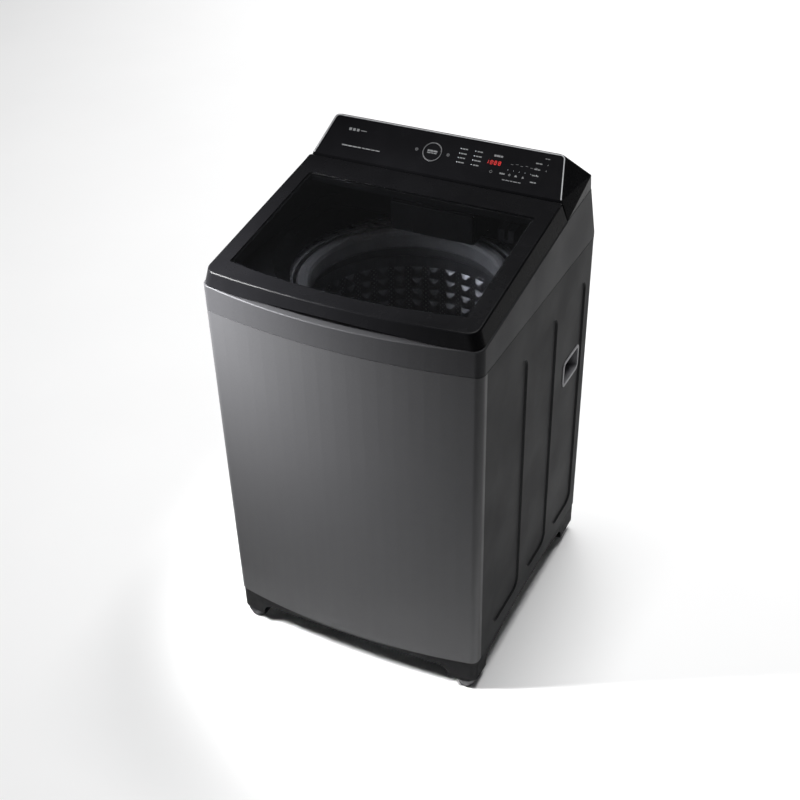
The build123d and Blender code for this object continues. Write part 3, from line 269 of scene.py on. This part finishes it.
def build_materials():
    return {
        "front_paint": paint("front_paint", (0.028, 0.028, 0.0295), 0.44, 0.2),
        # side_paint is the front paint at about a third of its brightness: painted shade on the cabinet's sides,
        # which read darker than the front
        "side_paint": paint("side_paint", (0.010, 0.010, 0.0108), 0.5, 0.0, 0.055),
        "cover_paint": paint("cover_paint", (0.0245, 0.0245, 0.026), 0.46, 0.25, 0.03),
        "gloss_black": gloss("gloss_black", (0.003, 0.003, 0.0034), 0.24, 0.045),
        "panel_gloss": gloss("panel_gloss", (0.0035, 0.0035, 0.004), 0.2, 0.05),
        "silver_trim": rolled_metal("silver_trim", (0.24, 0.243, 0.25), 0.42, (8, 700, 700), 0.25),
        "dark_ring": rolled_metal("dark_ring", (0.07, 0.071, 0.074), 0.4, (900, 900, 900), 0.25),
        "black_plastic": moulded("black_plastic", (0.0035, 0.0035, 0.004), 0.55, level=0.06),
        "grey_plastic": moulded("grey_plastic", (0.16, 0.16, 0.17), 0.45),
        # well_plastic is darker than black_plastic: partly the well's own black moulding, partly painted shade for
        # the well under the lid
        "well_plastic": moulded("well_plastic", (0.0022, 0.0022, 0.0025), 0.4, 1200, 0.00003, 0.05),
        "cover_ring_plastic": moulded("cover_ring_plastic", (0.065, 0.065, 0.068), 0.3, 1200, 0.00002, 0.3),
        "drum_plastic": moulded("drum_plastic", (0.065, 0.065, 0.068), 0.34, 1200, 0.00002, 0.3),
        "tray_plastic": moulded("tray_plastic", (0.42, 0.43, 0.44), 0.35),
        "siphon_plastic": moulded("siphon_plastic", (0.05, 0.14, 0.36), 0.35),
        "tub_plastic": moulded("tub_plastic", (0.34, 0.35, 0.34), 0.5, 500, 0.0002),
        "valve_plastic": moulded("valve_plastic", (0.55, 0.55, 0.5), 0.45, 500, 0.0002),
        "zinc_steel": zinc("zinc_steel", (0.52, 0.53, 0.54)),
        "rotor_steel": zinc("rotor_steel", (0.45, 0.46, 0.47), 0.34),
        "drum_steel": rolled_metal("drum_steel", (0.17, 0.17, 0.18), 0.40, (420, 420, 9), 0.9),
        "shaft_steel": rolled_metal("shaft_steel", (0.62, 0.62, 0.64), 0.22, (60, 60, 2500)),
        "bearing_steel": rolled_metal("bearing_steel", (0.6, 0.6, 0.62), 0.24, (60, 60, 2500)),
        "spring_steel": rolled_metal("spring_steel", (0.3, 0.3, 0.31), 0.35, (900, 900, 900)),
        "cast_aluminium": cast("cast_aluminium", (0.6, 0.61, 0.62)),
        "lamination_steel": laminations("lamination_steel", (0.3, 0.3, 0.32)),
        "copper_wire": windings("copper_wire", (0.62, 0.24, 0.09)),
        "circuit_board": board("circuit_board", (0.015, 0.11, 0.045)),
        "black_rubber": rubber("black_rubber", (0.030, 0.030, 0.032)),
        "tinted_glass": smoked_glass("tinted_glass", (0.60, 0.61, 0.63)),
        "white_ink": ink("white_ink", (0.10, 0.102, 0.105)),
        "grey_ink": ink("grey_ink", (0.09, 0.09, 0.095)),
        "red_digits": glow("red_digits", (0.5, 0.012, 0.01), 0.25),
        "white_lamp": glow("white_lamp", (0.85, 0.9, 1.0), 0.2),
    }


MATERIALS = build_materials()
OWN_LOOK = {"selector_ring": "dark_ring"}     # pieces finished differently from their slot


def finish_cad_nodes():
    for name, obj in frame["nodes"].items():
        mat = MATERIALS[OWN_LOOK.get(name, NODE_SLOT[name])]
        obj.data.materials.clear()
        obj.data.materials.append(mat)
        for poly in obj.data.polygons:
            poly.use_smooth = False


# ---- mesh helpers -----------------------------------------------------------------------------
def mesh_object(name, verts, faces, material, body):
    mesh = bpy.data.meshes.new(name)
    mesh.from_pydata([tuple(v) for v in verts], [], faces)
    mesh.update()
    obj = bpy.data.objects.new(name, mesh)
    bpy.context.scene.collection.objects.link(obj)
    obj.data.materials.append(MATERIALS[material])
    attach(obj, body)
    return obj


class Marks:
    """Many small raised shapes gathered in one mesh, drawn on a tilted plane (u, v, height)."""

    def __init__(self, origin, x_dir, y_dir):
        self.origin = Vector(origin)
        self.x = Vector(x_dir).normalized()
        self.y = Vector(y_dir).normalized()
        self.n = self.x.cross(self.y)
        self.verts = []
        self.faces = []

    def point(self, u, v, h):
        return self.origin + self.x * u * MM + self.y * v * MM + self.n * h * MM

    def polygon(self, outline, h0=0.02, h1=0.12):
        """A raised shape with this outline, counter-clockwise, in millimetres."""
        base = len(self.verts)
        n = len(outline)
        self.verts += [self.point(u, v, h0) for u, v in outline]
        self.verts += [self.point(u, v, h1) for u, v in outline]
        self.faces.append([base + n + k for k in range(n)])
        self.faces.append([base + k for k in reversed(range(n))])
        for k in range(n):
            j = (k + 1) % n
            self.faces.append([base + k, base + j, base + n + j, base + n + k])

    def bar(self, u, v, w, h, lean=0.0):
        self.polygon([(u - w / 2, v - h / 2), (u + w / 2, v - h / 2),
                      (u + w / 2 + lean, v + h / 2), (u - w / 2 + lean, v + h / 2)])

    def disc(self, u, v, r, steps=20):
        turn = 2 * math.pi / steps
        self.polygon([(u + r * math.cos(k * turn), v + r * math.sin(k * turn)) for k in range(steps)])

    def hoop(self, u, v, r_in, r_out, steps=40, start=0.0, sweep=360.0):
        for k in range(steps):
            a = math.radians(start + sweep * k / steps)
            b = math.radians(start + sweep * (k + 1) / steps)
            self.polygon([(u + r_in * math.cos(a), v + r_in * math.sin(a)),
                          (u + r_out * math.cos(a), v + r_out * math.sin(a)),
                          (u + r_out * math.cos(b), v + r_out * math.sin(b)),
                          (u + r_in * math.cos(b), v + r_in * math.sin(b))])

    def words(self, u, v, lengths, h, gap=1.1, centre=True):
        """Dashes that stand for a line of small print."""
        total = sum(lengths) + gap * (len(lengths) - 1)
        x = u - total / 2 if centre else u
        for length in lengths:
            self.bar(x + length / 2, v, length, h)
            x += length + gap

    def build(self, name, material, body, slot):
        return mesh_object(name, self.verts, self.faces, material, body)


# ---- control panel prints ---------------------------------------------------------------------
# Places on the panel are in millimetres: u across it from the middle, v up its slope from its front edge.
DIAL_U, DIAL_V = -20.0, 52.0
COURSE_ROWS = (72.0, 61.0, 51.0, 40.5)
COURSE_COLUMNS = ((51.0, 41.5), (86.0, 75.5))      # words and lamp of each column
OPTION_ROWS = (70.5, 56.8, 42.4, 26.8)
OPTION_U = 221.0
KEY_U = (123.0, 149.0, 165.5, 180.0, 196.0)
KEY_V = 33.5
DIGIT_U, DIGIT_V, DIGIT_STEP = 108.0, 54.3, 9.3
PRINT_H = 2.5                                      # height of a line of small print
START_FACE = 0.9 * MM                              # start button's face above the panel's


def panel_frame():
    """The selector's centre and the panel's own axes: across it and up its slope."""
    x = Vector((1, 0, 0))
    return Vector(SELECTOR["pos_m"]), x, SELECTOR_AXIS.cross(x)


def emblem_marks(white):
    """A plain emblem and a caption line on the left."""
    for k in range(3):
        white.bar(-226 + 9.5 * k, 69.5, 6.0, 6.0)
    white.bar(-193, 69.5, 14, 1.6)
    white.words(-233, 30, (14, 9, 11, 8), 2.6, 1.6, centre=False)
    white.words(-183, 30, (7, 12, 9, 10), 1.9, 1.6, centre=False)


def selector_marks(grey):
    """Arrows either side of the selector."""
    for side in (-1, 1):
        u = DIAL_U + side * 37.3
        grey.hoop(u, DIAL_V, 2.4, 3.2, 20)
        grey.polygon(arrow(u, DIAL_V, side))


def course_marks(white, lamp):
    """Two columns of courses, each with its lamp."""
    (first, first_lamp), (second, second_lamp) = COURSE_COLUMNS
    for row, v in enumerate(COURSE_ROWS):
        white.words(first, v, (6.5, 5.0 + 1.2 * (row % 2)), PRINT_H)
        white.words(second, v, (4.6 + 1.3 * (row % 3), 6.5), PRINT_H)
        lamp.disc(first_lamp, v, 0.7, 12)
        lamp.disc(second_lamp, v, 0.7, 12)


def display_marks(grey, red):
    """Display window with its digits and their colon."""
    grey.words(129, 70.5, (5, 8, 5), 4.2, 0.8)
    for k, figure in enumerate("1888"):
        digit(red, DIGIT_U + DIGIT_STEP * k, DIGIT_V, figure)
    for v in (52.4, 56.0):
        red.bar(121.9, v, 1.0, 1.0)


def option_marks(white, grey):
    """Column of options at the right edge; the first two have a tick."""
    for row, v in enumerate(OPTION_ROWS):
        white.words(OPTION_U, v, (7.0, 6.0 - row % 2), PRINT_H)
    for v in OPTION_ROWS[:2]:
        white.bar(240.8, v, 1.2, 2.8)
    grey.words(236, 84, (4, 5), 1.8)


def key_marks(white, grey, lamp):
    """Touch keys along the lower edge, with their lamps and captions."""
    for k, u in enumerate(KEY_U):
        key_symbol(white, u, KEY_V, k)
    white.words(174, 20.5, (6, 9, 5, 9, 6), 1.6, 1.8)
    for k in range(6):
        lamp.disc(158.5 + 13 * k, 44.0, 0.45, 10)
        grey.bar(164 + 11 * k, 57.5 + 2 * (k % 2), 5.5, 0.7)


def panel_marks():
    centre, x, up = panel_frame()
    origin = centre - x * DIAL_U * MM - up * DIAL_V * MM
    white, grey, red, lamp = [Marks(origin, x, up) for _ in range(4)]
    emblem_marks(white)
    selector_marks(grey)
    course_marks(white, lamp)
    display_marks(grey, red)
    option_marks(white, grey)
    key_marks(white, grey, lamp)
    white.build("panel_prints", "white_ink", "cabinet", "panel_gloss")
    grey.build("panel_dim_prints", "grey_ink", "cabinet", "panel_gloss")
    red.build("display_digits", "red_digits", "cabinet", "panel_gloss")
    lamp.build("panel_lamps", "white_lamp", "cabinet", "panel_gloss")
    button = Marks(centre + SELECTOR_AXIS * START_FACE, x, up)
    button.words(0, 1.9, (5, 7, 9), 3.6, 1.0)
    button.words(0, -3.0, (8, 6, 6), 2.0, 1.2)
    button.build("start_button_print", "white_ink", "start", "panel_gloss")


def arrow(u, v, side):
    points = [(u - side * 0.9, v - 1.3), (u + side * 1.3, v), (u - side * 0.9, v + 1.3)]
    return points if side > 0 else points[::-1]


def digit(marks, u, v, figure):
    """Seven bars of a display digit, 5 wide and 9 high."""
    bars = {"1": "bc", "8": "abcdefg"}[figure]
    place = {"a": (0, 4.2, 3.4, 0.9), "g": (0, 0, 3.4, 0.9), "d": (0, -4.2, 3.4, 0.9),
             "b": (2.1, 2.1, 0.9, 3.4), "c": (2.1, -2.1, 0.9, 3.4),
             "f": (-2.1, 2.1, 0.9, 3.4), "e": (-2.1, -2.1, 0.9, 3.4)}
    for bar in bars:
        du, dv, w, h = place[bar]
        marks.bar(u + du + 0.08 * (dv + 5), v + dv, w, h)


def key_symbol(marks, u, v, kind):
    if kind == 0:
        marks.hoop(u, v, 2.4, 3.1, 24, 120, 300)
        marks.bar(u, v + 2.6, 0.8, 2.6)
    elif kind == 1:
        marks.bar(u - 4.2, v, 3.0, 3.4)
        marks.bar(u, v, 3.4, 3.4)
        marks.bar(u + 4.2, v, 3.0, 3.4)
    elif kind == 2:
        marks.hoop(u, v, 1.7, 2.5, 20)
        marks.bar(u, v, 1.4, 1.4)
    elif kind == 3:
        marks.polygon([(u - 3, v - 2), (u + 3, v - 2), (u + 1.6, v + 1.2), (u - 1.6, v + 2.2)])
    else:
        marks.polygon([(u - 2.6, v - 2.2), (u + 2.6, v - 2.2), (u, v + 2.6)])


# ---- drum -------------------------------------------------------------------------------------
COLUMNS = 36
STEP = 2 * math.pi / COLUMNS     # angle from one column of pyramids to the next
CELL_H = 30.0 * MM               # pitch of the pyramids up a column
PEAK = 6.0 * MM                  # height of a pyramid
FIELD_LOW = 12.0 * MM            # plain band under the pyramids
FIELD_HIGH = 34.0 * MM           # least plain band above them
FLAT = 2.0 * MM                  # flat land between two pyramids of a column
FOOT = 0.5 - 0.19                # half width of a pyramid's foot, in steps
STRIP = 0.19 * 0.8               # half width of a hole strip, in steps
CREST = 0.16                     # half width of a pyramid's top, in steps
HOLE_PITCH = 11.0 * MM
HOLE_R = 2.1 * MM
HOLE_SIDES = 12
SKIN_R = WALL_HI.x - 1.0 * MM
SHEET = 0.6 * MM


class Skin:
    """Points and faces on the inside of the drum wall."""

    def __init__(self):
        self.verts = []
        self.faces = []

    def add(self, theta, z, depth=0.0):
        r = SKIN_R - depth
        self.verts.append((r * math.sin(theta), r * math.cos(theta), z))
        return len(self.verts) - 1

    def rectangle(self, half, centre, z0, z1):
        return [self.add(centre - half, z0), self.add(centre + half, z0), self.add(centre + half, z1),
                self.add(centre - half, z1)]

    def pyramid(self, centre, z0):
        """One embossed cell, whose top is a small slanted lozenge."""
        corner = self.rectangle(FOOT * STEP, centre, z0 + FLAT, z0 + CELL_H - FLAT)
        lozenge = ((-0.3, 0.42), (0.9, 0.36), (0.3, 0.60), (-0.9, 0.66))
        top = [self.add(centre + CREST * STEP * du, z0 + CELL_H * dz, PEAK) for du, dz in lozenge]
        outer = self.rectangle((0.5 - STRIP) * STEP, centre, z0, z0 + CELL_H)
        for k in range(4):
            j = (k + 1) % 4
            self.faces.append([corner[j], corner[k], top[k], top[j]])
            self.faces.append([outer[j], outer[k], corner[k], corner[j]])
        self.faces.append(top[::-1])

    def hole(self, centre, z, pitch):
        """One pitch of plain strip with a round hole in it."""
        rim = []
        edge = []
        for i in range(HOLE_SIDES):
            a = 2 * math.pi * i / HOLE_SIDES
            dx, dz = math.cos(a), math.sin(a)
            rim.append(self.add(centre + HOLE_R * dx / WALL_HI.x, z + HOLE_R * dz))
            reach = max(abs(dx), abs(dz))
            edge.append(self.add(centre + STRIP * STEP * dx / reach, z + pitch / 2 * dz / reach))
        for i in range(HOLE_SIDES):
            j = (i + 1) % HOLE_SIDES
            self.faces.append([edge[j], edge[i], rim[i], rim[j]])

    def band(self, z0, z1):
        """Smooth ring above or below the embossed field."""
        for k in range(COLUMNS * 2):
            a = (k - 1) * STEP / 2
            b = k * STEP / 2
            self.faces.append([self.add(b, z0), self.add(a, z0), self.add(a, z1), self.add(b, z1)])


def drum_skin():
    """Drum wall with a column of embossed pyramids every ten degrees and hole rows between them."""
    skin = Skin()
    low = WALL_LO.z + FIELD_LOW
    rows = int((WALL_HI.z - FIELD_HIGH - low) / CELL_H)
    high = low + rows * CELL_H
    holes = int((high - low) / HOLE_PITCH)
    pitch = (high - low) / holes
    for column in range(COLUMNS):
        for row in range(rows):
            skin.pyramid(column * STEP, low + row * CELL_H)
        for k in range(holes):
            skin.hole((column + 0.5) * STEP, low + (k + 0.5) * pitch, pitch)
    skin.band(WALL_LO.z, low)
    skin.band(high, WALL_HI.z)
    obj = mesh_object("drum_skin", skin.verts, skin.faces, "drum_steel", "drum")
    clean(obj, 0.02 * MM)
    solid = obj.modifiers.new("sheet", "SOLIDIFY")
    solid.thickness = SHEET
    solid.offset = 0
    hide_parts("drum_wall")


def clean(obj, distance):
    bm = bmesh.new()
    bm.from_mesh(obj.data)
    bmesh.ops.remove_doubles(bm, verts=bm.verts, dist=distance)
    bmesh.ops.recalc_face_normals(bm, faces=bm.faces)
    bm.to_mesh(obj.data)
    bm.free()


# ---- stage ------------------------------------------------------------------------------------
CAMERA_AT = Vector((1.0696, -2.1149, 2.1801))
CAMERA_TO = Vector((0.0897, 0.0165, 0.4061))
LENS = 56.36
SHIFT = (-0.0581, 0.0625)


def aim(obj, target):
    obj.rotation_euler = (Vector(target) - obj.location).to_track_quat("-Z", "Y").to_euler()


def make_camera():
    data = bpy.data.cameras.new("camera")
    data.lens = LENS
    data.sensor_width = 36.0
    data.shift_x, data.shift_y = SHIFT
    data.clip_end = 50
    camera = bpy.data.objects.new("camera", data)
    camera.location = CAMERA_AT
    aim(camera, CAMERA_TO)
    bpy.context.scene.collection.objects.link(camera)
    bpy.context.scene.camera = camera


def softbox(name, at, to, size, power, spread=180):
    data = bpy.data.lights.new(name, "AREA")
    data.shape = "RECTANGLE"
    data.size, data.size_y = size
    data.energy = power
    data.spread = math.radians(spread)
    light = bpy.data.objects.new(name, data)
    light.location = at
    light.visible_camera = False
    aim(light, to)
    bpy.context.scene.collection.objects.link(light)


FLOOR = 9.0                      # half width of the floor
WORLD_COLOR = (0.95, 0.97, 1.0, 1)
WORLD_POWER = 0.05


def make_stage():
    mesh = bpy.data.meshes.new("floor")
    mesh.from_pydata([(-FLOOR, -FLOOR, 0), (FLOOR, -FLOOR, 0), (FLOOR, FLOOR, 0), (-FLOOR, FLOOR, 0)],
                     [], [(0, 1, 2, 3)])
    floor = bpy.data.objects.new("floor", mesh)
    floor.data.materials.append(floor_finish("floor_finish", (0.90, 0.90, 0.90)))
    bpy.context.scene.collection.objects.link(floor)
    world = bpy.data.worlds.new("studio")
    bpy.context.scene.world = world
    world.use_nodes = True
    background = world.node_tree.nodes["Background"]
    background.inputs["Color"].default_value = WORLD_COLOR
    background.inputs["Strength"].default_value = WORLD_POWER
    bpy.context.scene.view_settings.view_transform = "Standard"
    softbox("key_left", (-0.76, -0.66, 1.27), (-0.30, -0.335, 0.84), (0.4, 0.4), 22, spread=68)
    softbox("overhead", (0.2, 1.3, 7.0), (0.2, 1.3, 0.0), (3.4, 4.2), 560)
    softbox("floor_back", (-0.5, 5.2, 3.0), (-0.5, 5.6, 0.0), (8.0, 2.0), 130)


# ---- build ------------------------------------------------------------------------------------
make_camera()
make_stage()
finish_cad_nodes()
panel_marks()
drum_skin()
